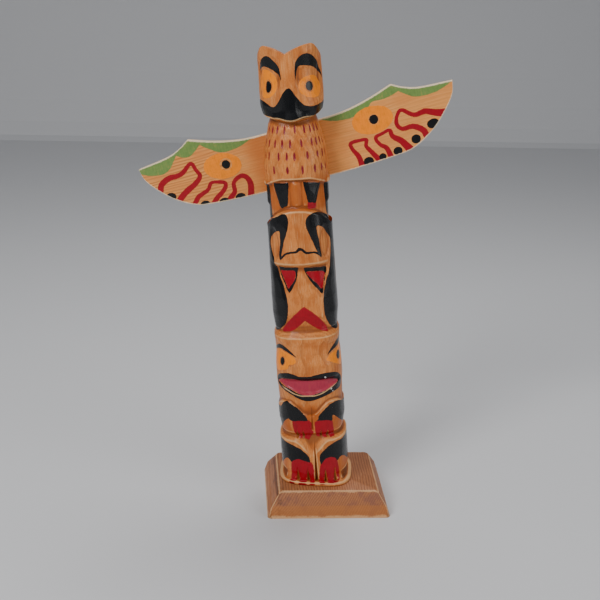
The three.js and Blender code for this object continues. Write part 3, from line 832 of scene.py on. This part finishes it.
# Outlines on the wings: millimetres along the board from the pole's axis, and up it.
WING_SCALLOPS = (
    [(-24, 23), (-31.2, 17.9), (-40.8, 15.2), (-50.3, 15.1), (-58.1, 19.2), (-64, 25.4), (-50, 28)],
    [(-63, 27), (-66.6, 22.6), (-72.7, 18.5), (-78.3, 18.6), (-82.6, 21.2), (-86, 26), (-74, 33)],
    [(-82.5, 25), (-86, 17.3), (-93.6, 11.3), (-104, 11.9), (-112, 16), (-112, 21), (-98, 24)],
    [(22, 22), (28.2, 16.8), (41.6, 14.7), (53.7, 16.8), (59.8, 21.6), (67.3, 21.5), (74.5, 22.7),
     (80, 24.8), (84, 30), (74, 36), (52, 28)],
    [(79.5, 25.5), (84, 20.4), (90.6, 17.1), (101.8, 16.7), (109, 18.4), (115, 21.2), (117, 25), (98, 28)],
)
WING_LOOPS = (
    ([(-101.5, -0.5), (-99, 4), (-93, 7), (-83.3, 7.7), (-74.6, 13.2), (-72.2, 8.1), (-70.6, 2.8),
      (-75.8, -1.6), (-83.4, -5.3), (-91.5, -11)],
     (4.4, 4.4, 4.2, 3.6, 2.8, 2.9, 3.2, 3.9, 4.4, 4.4)),
    ([(-81, -16.5), (-77, -12), (-74, -10.2), (-68, -8), (-64.4, -3.9), (-60, -4.2), (-54.6, -6.4),
      (-56.6, -10.7), (-63.8, -15.6), (-67.5, -19.5)],
     (3.6, 3.6, 3.4, 2.9, 2.5, 2.6, 2.9, 3.2, 3.8, 4)),
    ([(-55.5, -20.5), (-53.6, -17.5), (-49.8, -14), (-48.6, -7.6), (-42.5, -4.4), (-38.6, -6.6),
      (-37.4, -12), (-39.4, -20.5)],
     (4.2, 4, 3.4, 3, 3.4, 3.8, 4.4, 4.8)),
    ([(107, 1.4), (100, 3.4), (93.3, 6.1), (85.5, 5.6), (78.2, 11), (74.2, 8), (72.6, 2.6), (75.4, -1.6),
      (82.9, -1.9), (89, -6), (90.8, -11)],
     (5.8, 4.6, 4, 3.2, 2.6, 2.6, 2.8, 3, 3.8, 4.4, 4.6)),
    ([(77.5, -17), (73.1, -9.8), (67.8, -4.8), (66.8, -0.2), (61.5, -1.2), (56.2, -2.9), (58, -8),
      (61.9, -11.9), (63.4, -18.5)],
     (5.6, 4.6, 3.6, 2.4, 2.4, 2.6, 2.8, 3.4, 4)),
    ([(55.8, -20), (50.6, -11), (48.4, -6.7), (49.6, -2.6), (44.5, -1.8), (38.6, -2.2), (38.6, -6.5),
      (41.6, -12.6), (42.4, -20.5)],
     (4, 3.2, 2.8, 2.6, 2.4, 2.6, 2.8, 3.6, 4.4)),
)
WING_CLAWS = ((-95.2, -6.2, 3.9, 3.2), (-72.8, -17.8, 3.8, 2.9), (-59.2, -18.6, 3.6, 2.2), (-46.8,
              -18.6, 3.6, 2.6),
              (97, -3.6, 4.3, 3.4), (83.1, -11, 3.3, 3.2), (69, -15.9, 3.2, 3.1), (57.8, -17, 2.6, 2.4),
              (47.6, -17.6, 3.6, 3))


def paint_wings(places):
    """How far each place of the board lies inside each colour, in millimetres."""
    u, v = places[:, 0], places[:, 2]
    coats = {name: Coat(u, v) for name in ("green", "orange", "crimson", "black")}
    for outline in WING_SCALLOPS:
        coats["green"].shape(outline)
    coats["orange"].oval((-53, 5.8), 13.6, 9.2, -8)
    coats["orange"].leave_oval((-50.3, 6.3), 4.4, 4.3)
    coats["orange"].oval((57.2, 9.6), 14.4, 9.6, 0)
    coats["orange"].leave_oval((58.1, 9.8), 3.7, 3.7)
    for line, widths in WING_LOOPS:
        coats["crimson"].stroke(line, widths)
    coats["black"].oval((-50.3, 6.3), 3.1, 3.2)
    coats["black"].oval((58.1, 9.8), 3.2, 3.3)
    for x, y, across, up in WING_CLAWS:
        coats["black"].oval((x, y), across, up)
    top, bottom = wing_edges(u)
    return {name: coat.inside for name, coat in coats.items()} | {
        "set_back": places[:, 1] - (NOTCH_DEPTH_Y + GLUE),
        "rim": np.minimum(top - v, v - bottom)}


# ------------------------------------------------------------------ shader values

def colour(red, green, blue):
    """Linear colour from the 0 to 255 scale of a colour chart."""
    return (*[((c / 255 + 0.055) / 1.055) ** 2.4 for c in (red, green, blue)], 1.0)


class Value:
    """A number, colour or place in a shader. Sums on values add their Math nodes."""

    def __init__(self, look, socket):
        self.look = look
        self.socket = socket

    def maths(self, operation, *others):
        return self.look.node("ShaderNodeMath", {"operation": operation}, (self, *others))

    def __add__(self, other):
        return self.maths("ADD", other)

    def __radd__(self, other):
        return self.maths("ADD", other)

    def __sub__(self, other):
        return self.maths("SUBTRACT", other)

    def __rsub__(self, other):
        return self.look.node("ShaderNodeMath", {"operation": "SUBTRACT"}, (other, self))

    def __mul__(self, other):
        return self.maths("MULTIPLY", other)

    def __rmul__(self, other):
        return self.maths("MULTIPLY", other)

    def __truediv__(self, other):
        return self.maths("DIVIDE", other)

    def __pow__(self, other):
        return self.maths("POWER", other)

    def step(self, start, end):
        """0 at start and 1 at end, smooth between."""
        return self.look.node("ShaderNodeMapRange", {"interpolation_type": "SMOOTHSTEP"},
                              {"Value": self, "From Min": start, "From Max": end})


class Look:
    """A material whose patterns are laid out in millimetres in the piece's own frame."""

    def __init__(self, name, frame_of_piece, **finish):
        self.material = bpy.data.materials.new(name)
        self.material.use_nodes = True
        self.tree = self.material.node_tree
        self.shader = self.tree.nodes["Principled BSDF"]
        for socket, value in finish.items():
            self.shader.inputs[socket.replace("_", " ")].default_value = value
        into_frame = (frame_of_piece @ Matrix.Scale(1 / MM, 4)).inverted()
        turn = into_frame.to_3x3().normalized().to_euler()
        metres = self.node("ShaderNodeTexCoord", {}, {}, "Object")
        self.place = self.node("ShaderNodeMapping", {"vector_type": "POINT"}, {
            "Vector": metres, "Location": into_frame.translation, "Rotation": turn,
            "Scale": (1 / MM, 1 / MM, 1 / MM)})

    def feed(self, socket, value):
        if isinstance(value, Value):
            self.tree.links.new(value.socket, socket)
        else:
            socket.default_value = value

    def node(self, kind, settings, inputs, output=0):
        node = self.tree.nodes.new(kind)
        for name, value in settings.items():
            setattr(node, name, value)
        pairs = inputs.items() if isinstance(inputs, dict) else enumerate(inputs)
        for socket, value in pairs:
            self.feed(node.inputs[socket], value)
        return Value(self, node.outputs[output])

    def attribute(self, name):
        return self.node("ShaderNodeAttribute", {"attribute_name": name}, {}, "Fac")

    def axis(self, index):
        return self.node("ShaderNodeSeparateXYZ", {}, (self.place,), index)

    def noise(self, sizes, detail=2.0, shift=0.0):
        """Soft noise from 0 to 1, its grains of the given millimetres along each axis."""
        place = self.node("ShaderNodeVectorMath", {"operation": "MULTIPLY_ADD"},
                          (self.place, tuple(1 / size for size in sizes), (shift, shift, shift)))
        return self.node("ShaderNodeTexNoise", {}, {"Vector": place, "Scale": 1.0, "Detail": detail})

    def blend(self, under, over, share):
        """Colour over laid on colour under."""
        return self.node("ShaderNodeMix", {"data_type": "RGBA"}, {0: share, 6: under, 7: over}, 2)

    def finish(self, base, roughness, height, depth):
        """Feeds the shader; height from 0 to 1 stands for depth millimetres of relief."""
        self.feed(self.shader.inputs["Base Color"], base)
        self.feed(self.shader.inputs["Roughness"], roughness)
        relief = self.node("ShaderNodeBump", {}, {"Height": height, "Strength": 1.0, "Distance": depth * MM},
                           "Normal")
        self.feed(self.shader.inputs["Normal"], relief)
        return self.material


# ------------------------------------------------------------------ woods and paints

# Pale wood of the light grain fibres and of bare wood where paint is worn; also used for the painted
# highlight on the carving's crests.
PALE_WOOD_AND_HIGHLIGHT = colour(238, 190, 132)
CEDAR = colour(216, 132, 64)
CEDAR_DARK = colour(146, 74, 26)
# Deep varnish brown of the blotches and stained zones; also the colour of the painted shade in the carved
# hollows and the painted shadow beside the wing's root.
VARNISH_AND_SHADE_BROWN = colour(176, 84, 16)
WING_CEDAR = colour(232, 154, 80)
PLINTH_PINE = colour(166, 102, 60)
PLINTH_DARK = colour(92, 50, 28)
PLINTH_PALE = colour(206, 150, 104)
PLINTH_PURPLE = colour(112, 70, 62)
PLINTH_STREAK = colour(78, 44, 24)
PLINTH_END_GRAIN = colour(176, 104, 44)
# Pale colour of the painted highlight along the plinth's edges.
PLINTH_EDGE_HIGHLIGHT = colour(226, 178, 128)
# Brown of the painted shade in the creases of the carving.
CREASE_SHADE_BROWN = colour(92, 48, 24)
KNOT_BROWN = colour(110, 60, 28)
BARE_EDGE = colour(244, 222, 186)

PAINTS = {
    "green": colour(112, 142, 72),
    "orange": colour(255, 140, 0),
    "crimson": colour(160, 0, 26),
    "rose": colour(170, 48, 70),
    "maroon": colour(136, 22, 40),
    "black": colour(6, 8, 11),
    "chip": colour(214, 214, 208),
}


def growth_rings(distance, spacing):
    """Dark late wood at the end of each year's ring, 0 to 1."""
    year = (distance / spacing).maths("FRACT")
    return year.step(0.3, 0.88) * (1 - year.step(0.9, 1.0))


def lay_paints(look, wood, names, keep=1.0):
    """The wood with its coats of paint, and the share of the surface that is painted or black."""
    ragged = (look.noise((0.8, 0.8, 0.8), 2, 4) - 0.5) * 0.5 + (look.noise((3.5, 3.5, 3.5), 1, 9) - 0.5) * 0.5
    brush = look.noise((1.1, 1.1, 6), 2, 14)
    thin = look.noise((4, 4, 4), 3, 21)
    painted = None
    base = wood
    black = None
    for name in names:
        edge = (look.attribute(name) + ragged).step(-0.1, 0.14) * keep
        cover = edge
        if name in ("green", "rose", "maroon"):
            cover = edge * (0.72 + 0.28 * (brush * 0.6 + thin * 0.6).step(0.3, 0.6))
        shade = look.blend(PAINTS[name], tuple(c * 0.62 for c in PAINTS[name][:3]) + (1.0,),
                           (brush * 0.5 + thin * 0.5).step(0.42, 0.72) * 0.55)
        base = look.blend(base, shade, cover)
        painted = edge if painted is None else edge + painted * (1 - edge)
        black = edge if name == "black" else black
    return base, painted, black


def pole_look():
    look = Look("carved_painted_cedar", pole_to_object(), Coat_Roughness=0.16, Specular_IOR_Level=0.22)
    x, y, z = (look.axis(k) for k in range(3))
    wander = look.noise((16, 16, 150), 1)
    rings = ((x - 5) ** 2 + (y - 42) ** 2) ** 0.5 + wander * 6
    late = growth_rings(rings, 2.1)
    fibre = look.noise((0.45, 0.45, 11), 2, 3)
    blotch = look.noise((7, 7, 11), 3, 5)
    pores = look.noise((0.55, 0.55, 0.9), 2, 7)
    ridge = look.attribute("ridge")
    hollow = look.attribute("hollow")
    stain = look.attribute("stain")

    wood = look.blend(CEDAR, CEDAR_DARK, late * 0.42)
    wood = look.blend(wood, CEDAR_DARK, fibre.step(0.5, 0.8) * 0.42)
    wood = look.blend(wood, PALE_WOOD_AND_HIGHLIGHT, fibre.step(0.5, 0.25) * 0.35)
    wood = look.blend(wood, VARNISH_AND_SHADE_BROWN, blotch.step(0.42, 0.68) * 0.5)
    wood = look.blend(wood, VARNISH_AND_SHADE_BROWN, stain * 0.75)
    # Painted shade: the wood is darkened in the carved hollows.
    wood = look.blend(wood, VARNISH_AND_SHADE_BROWN, hollow.step(0.1, 0.9) * 0.5)
    wood = look.blend(wood, CEDAR_DARK, pores.step(0.56, 0.7) * 0.35)
    # Painted shade: the wood is darkened in the creases of the carving, where the surface dips below its
    # neighbours.
    wood = look.blend(wood, CREASE_SHADE_BROWN, (hollow * 0.5 - ridge).step(0.22, 0.7) * 0.55)
    # Painted highlight: the crests of the carving are made paler.
    crest_highlight = (ridge + (pores - 0.5) * 0.15 + (blotch - 0.5) * 0.15).step(0.16, 0.5)
    wood = look.blend(wood, PALE_WOOD_AND_HIGHLIGHT, crest_highlight * 0.6)

    base, painted, black = lay_paints(look, wood, ("orange", "crimson", "rose", "maroon", "black", "chip"))
    # Real wear: paint rubbed off the sharpest ridges shows the pale wood beneath.
    wear_and_highlight = (ridge + (pores - 0.5) * 0.25).step(0.5, 0.8)
    base = look.blend(base, PALE_WOOD_AND_HIGHLIGHT, wear_and_highlight * painted * 0.7)

    satin = 0.42 + (blotch - 0.5) * 0.25 + fibre.step(0.5, 0.8) * 0.1
    roughness = satin * (1 - painted) + (0.34 + (pores - 0.5) * 0.2) * painted - 0.06 * black
    look.feed(look.shader.inputs["Coat Weight"], 0.1 + 0.14 * black)
    height = fibre * 0.35 + pores * 0.4 + late * 0.2 + painted * 0.5
    return look.finish(base, roughness, height, 0.16)


def wing_look():
    look = Look("painted_cedar_board", wing_to_object(), Coat_Roughness=0.2, Specular_IOR_Level=0.25)
    x, y, z = (look.axis(k) for k in range(3))
    wander = look.noise((90, 60, 12), 2)
    left = x.step(14, -14)
    late = growth_rings(z + wander * 9 + y * 0.35, 2.3)
    fine = look.noise((26, 1.0, 0.42), 2, 3)
    blotch = look.noise((16, 9, 7), 3, 5)
    pores = look.noise((1.6, 0.5, 0.5), 2, 7)
    # Painted shadow: a band of the board on the right of the pole, where the chest shades it.
    root = (x - 8).step(0, 16) * (1 - x.step(24, 62))

    wood = look.blend(WING_CEDAR, CEDAR_DARK, late * (0.16 + 0.44 * left))
    wood = look.blend(wood, CEDAR_DARK, fine.step(0.5, 0.8) * 0.32)
    wood = look.blend(wood, PALE_WOOD_AND_HIGHLIGHT, fine.step(0.48, 0.2) * 0.4)
    wood = look.blend(wood, CEDAR, blotch.step(0.4, 0.7) * 0.6)
    # Painted shadow beside the pole, in the deep varnish brown.
    wood = look.blend(wood, VARNISH_AND_SHADE_BROWN, root * 0.55)
    knot = (((x - 36.5) / 3.2) ** 2 + ((z + 4.5) / 1.2) ** 2).step(1.4, 0.2)
    wood = look.blend(wood, KNOT_BROWN, knot * 0.6)
    front = look.attribute("set_back").step(0.9, 0.5)
    rim = look.attribute("rim")
    base, painted, black = lay_paints(look, wood, ("green", "orange", "crimson", "black"), front)
    bare = (rim + (pores - 0.5) * 1.0 + (blotch - 0.5) * 0.8).step(0.95, 0.35)
    base = look.blend(base, BARE_EDGE, bare * 0.8)
    roughness = 0.4 + (blotch - 0.5) * 0.2 + (0.05 - 0.1 * black) * painted
    look.feed(look.shader.inputs["Coat Weight"], 0.1 + 0.14 * black)
    height = late * 0.3 + fine * 0.4 + pores * 0.3 + painted * 0.5
    return look.finish(base, roughness, height, 0.14)


def plinth_look():
    look = Look("stained_pine", Matrix.Scale(MM, 4), Coat_Roughness=0.4, Specular_IOR_Level=0.4)
    x, y, z = (look.axis(k) for k in range(3))
    wander = look.noise((26, 90, 26), 2)
    rings = ((x + 147) ** 2 + (z - 108) ** 2) ** 0.5 + wander * 7
    late = growth_rings(rings, 1.65)
    fibre = look.noise((0.5, 9, 0.5), 2, 3)
    blotch = look.noise((9, 14, 9), 3, 5)
    pores = look.noise((0.5, 1.2, 0.5), 2, 7)
    streaks = look.noise((2.6, 90, 2.6), 2, 11)

    from_middle_x = x.maths("ABSOLUTE") - (PLINTH_WIDTH / 2 - PLINTH_INSET)
    from_middle_y = y.maths("ABSOLUTE") - (PLINTH_DEPTH / 2 - PLINTH_INSET)
    out = from_middle_x.maths("MAXIMUM", from_middle_y)
    slope = out.step(0.2, 0.8)
    left_side = x.step(-30, -38)
    wood = look.blend(PLINTH_PINE, PLINTH_DARK, late * 0.5)
    wood = look.blend(wood, PLINTH_DARK, fibre.step(0.5, 0.8) * 0.45)
    wood = look.blend(wood, PLINTH_PALE, fibre.step(0.48, 0.22) * 0.4)
    wood = look.blend(wood, PLINTH_PURPLE, blotch.step(0.5, 0.66) * slope * 0.5)
    wood = look.blend(wood, PLINTH_STREAK, streaks.step(0.5, 0.66) * left_side * 0.6)
    end_grain = (1 - z.step(PLINTH_HEIGHT - PLINTH_SLOPE - 0.6, PLINTH_HEIGHT - PLINTH_SLOPE + 0.2))
    wood = look.blend(wood, PLINTH_END_GRAIN, end_grain * 0.55)
    # Painted highlight: pale lines along the plinth's top, lower and mitred edges, where they catch the
    # light, ragged by noise.
    edge_wobble = (pores - 0.5) * 1.2 + (blotch - 0.5) * 1.2
    top_edge = (out.maths("ABSOLUTE") + edge_wobble).step(0.8, 0.3)
    low_edge = ((out - PLINTH_INSET).maths("ABSOLUTE") + edge_wobble).step(0.8, 0.3)
    mitre = ((from_middle_x - from_middle_y).maths("ABSOLUTE") + edge_wobble).step(0.9, 0.3) * slope
    wear_and_highlight = top_edge.maths("MAXIMUM", low_edge).maths("MAXIMUM", mitre)
    base = look.blend(wood, PLINTH_EDGE_HIGHLIGHT, wear_and_highlight * 0.6)
    roughness = 0.5 + (blotch - 0.5) * 0.25 + late * 0.08
    height = late * 0.5 + fibre * 0.35 + pores * 0.3
    return look.finish(base, roughness, height, 0.2)


# ------------------------------------------------------------------ stage

FLOOR_REACH = 4  # metres from the middle to each edge
BACKDROP_START = 1.6  # where the sheet begins to curve up
BACKDROP_CURVE = 0.9
BACKDROP_PULL = 0.8  # share of the depth that the curve takes up


def make_floor():
    bm = bmesh.new()
    bmesh.ops.create_grid(bm, x_segments=1, y_segments=80, size=FLOOR_REACH)
    for vert in bm.verts:
        rise = max(0.0, vert.co.y - BACKDROP_START)
        vert.co.y -= BACKDROP_PULL * rise
        vert.co.z = BACKDROP_CURVE * rise ** 2
    mesh = bpy.data.meshes.new("floor")
    bm.to_mesh(mesh)
    bm.free()
    floor = bpy.data.objects.new("floor", mesh)
    bpy.context.scene.collection.objects.link(floor)
    paint = bpy.data.materials.new("pale_floor")
    paint.use_nodes = True
    shader = paint.node_tree.nodes["Principled BSDF"]
    shader.inputs["Base Color"].default_value = (0.62, 0.62, 0.63, 1)
    shader.inputs["Roughness"].default_value = 0.7
    mesh.materials.append(paint)
    floor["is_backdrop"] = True


def soft_light(name, place, target, size, watts):
    light = bpy.data.lights.new(name, "AREA")
    light.shape = "DISK"
    light.size = size
    light.energy = watts
    lamp = bpy.data.objects.new(name, light)
    bpy.context.scene.collection.objects.link(lamp)
    lamp.location = place
    lamp.rotation_euler = (Vector(target) - Vector(place)).to_track_quat("-Z", "Y").to_euler()


def make_lights():
    world = bpy.data.worlds.new("studio")
    bpy.context.scene.world = world
    world.use_nodes = True
    world.node_tree.nodes["Background"].inputs["Color"].default_value = (0.92, 0.95, 1.0, 1)
    world.node_tree.nodes["Background"].inputs["Strength"].default_value = 0.26
    soft_light("key", (-0.75, -0.8, 0.95), (0, 0, 0.17), 0.5, 12)
    soft_light("fill", (0.9, -0.7, 0.5), (0, 0, 0.17), 0.8, 4.5)
    soft_light("top", (0.1, 0.35, 1.1), (0, 0, 0.2), 0.5, 5)


make_pole()
make_wing_board()
make_plinth()
make_floor()
make_lights()

boxes = {"cad": cad_box, "visual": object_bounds()}
{name: [list(corner) for corner in box] for name, box in boxes.items()}
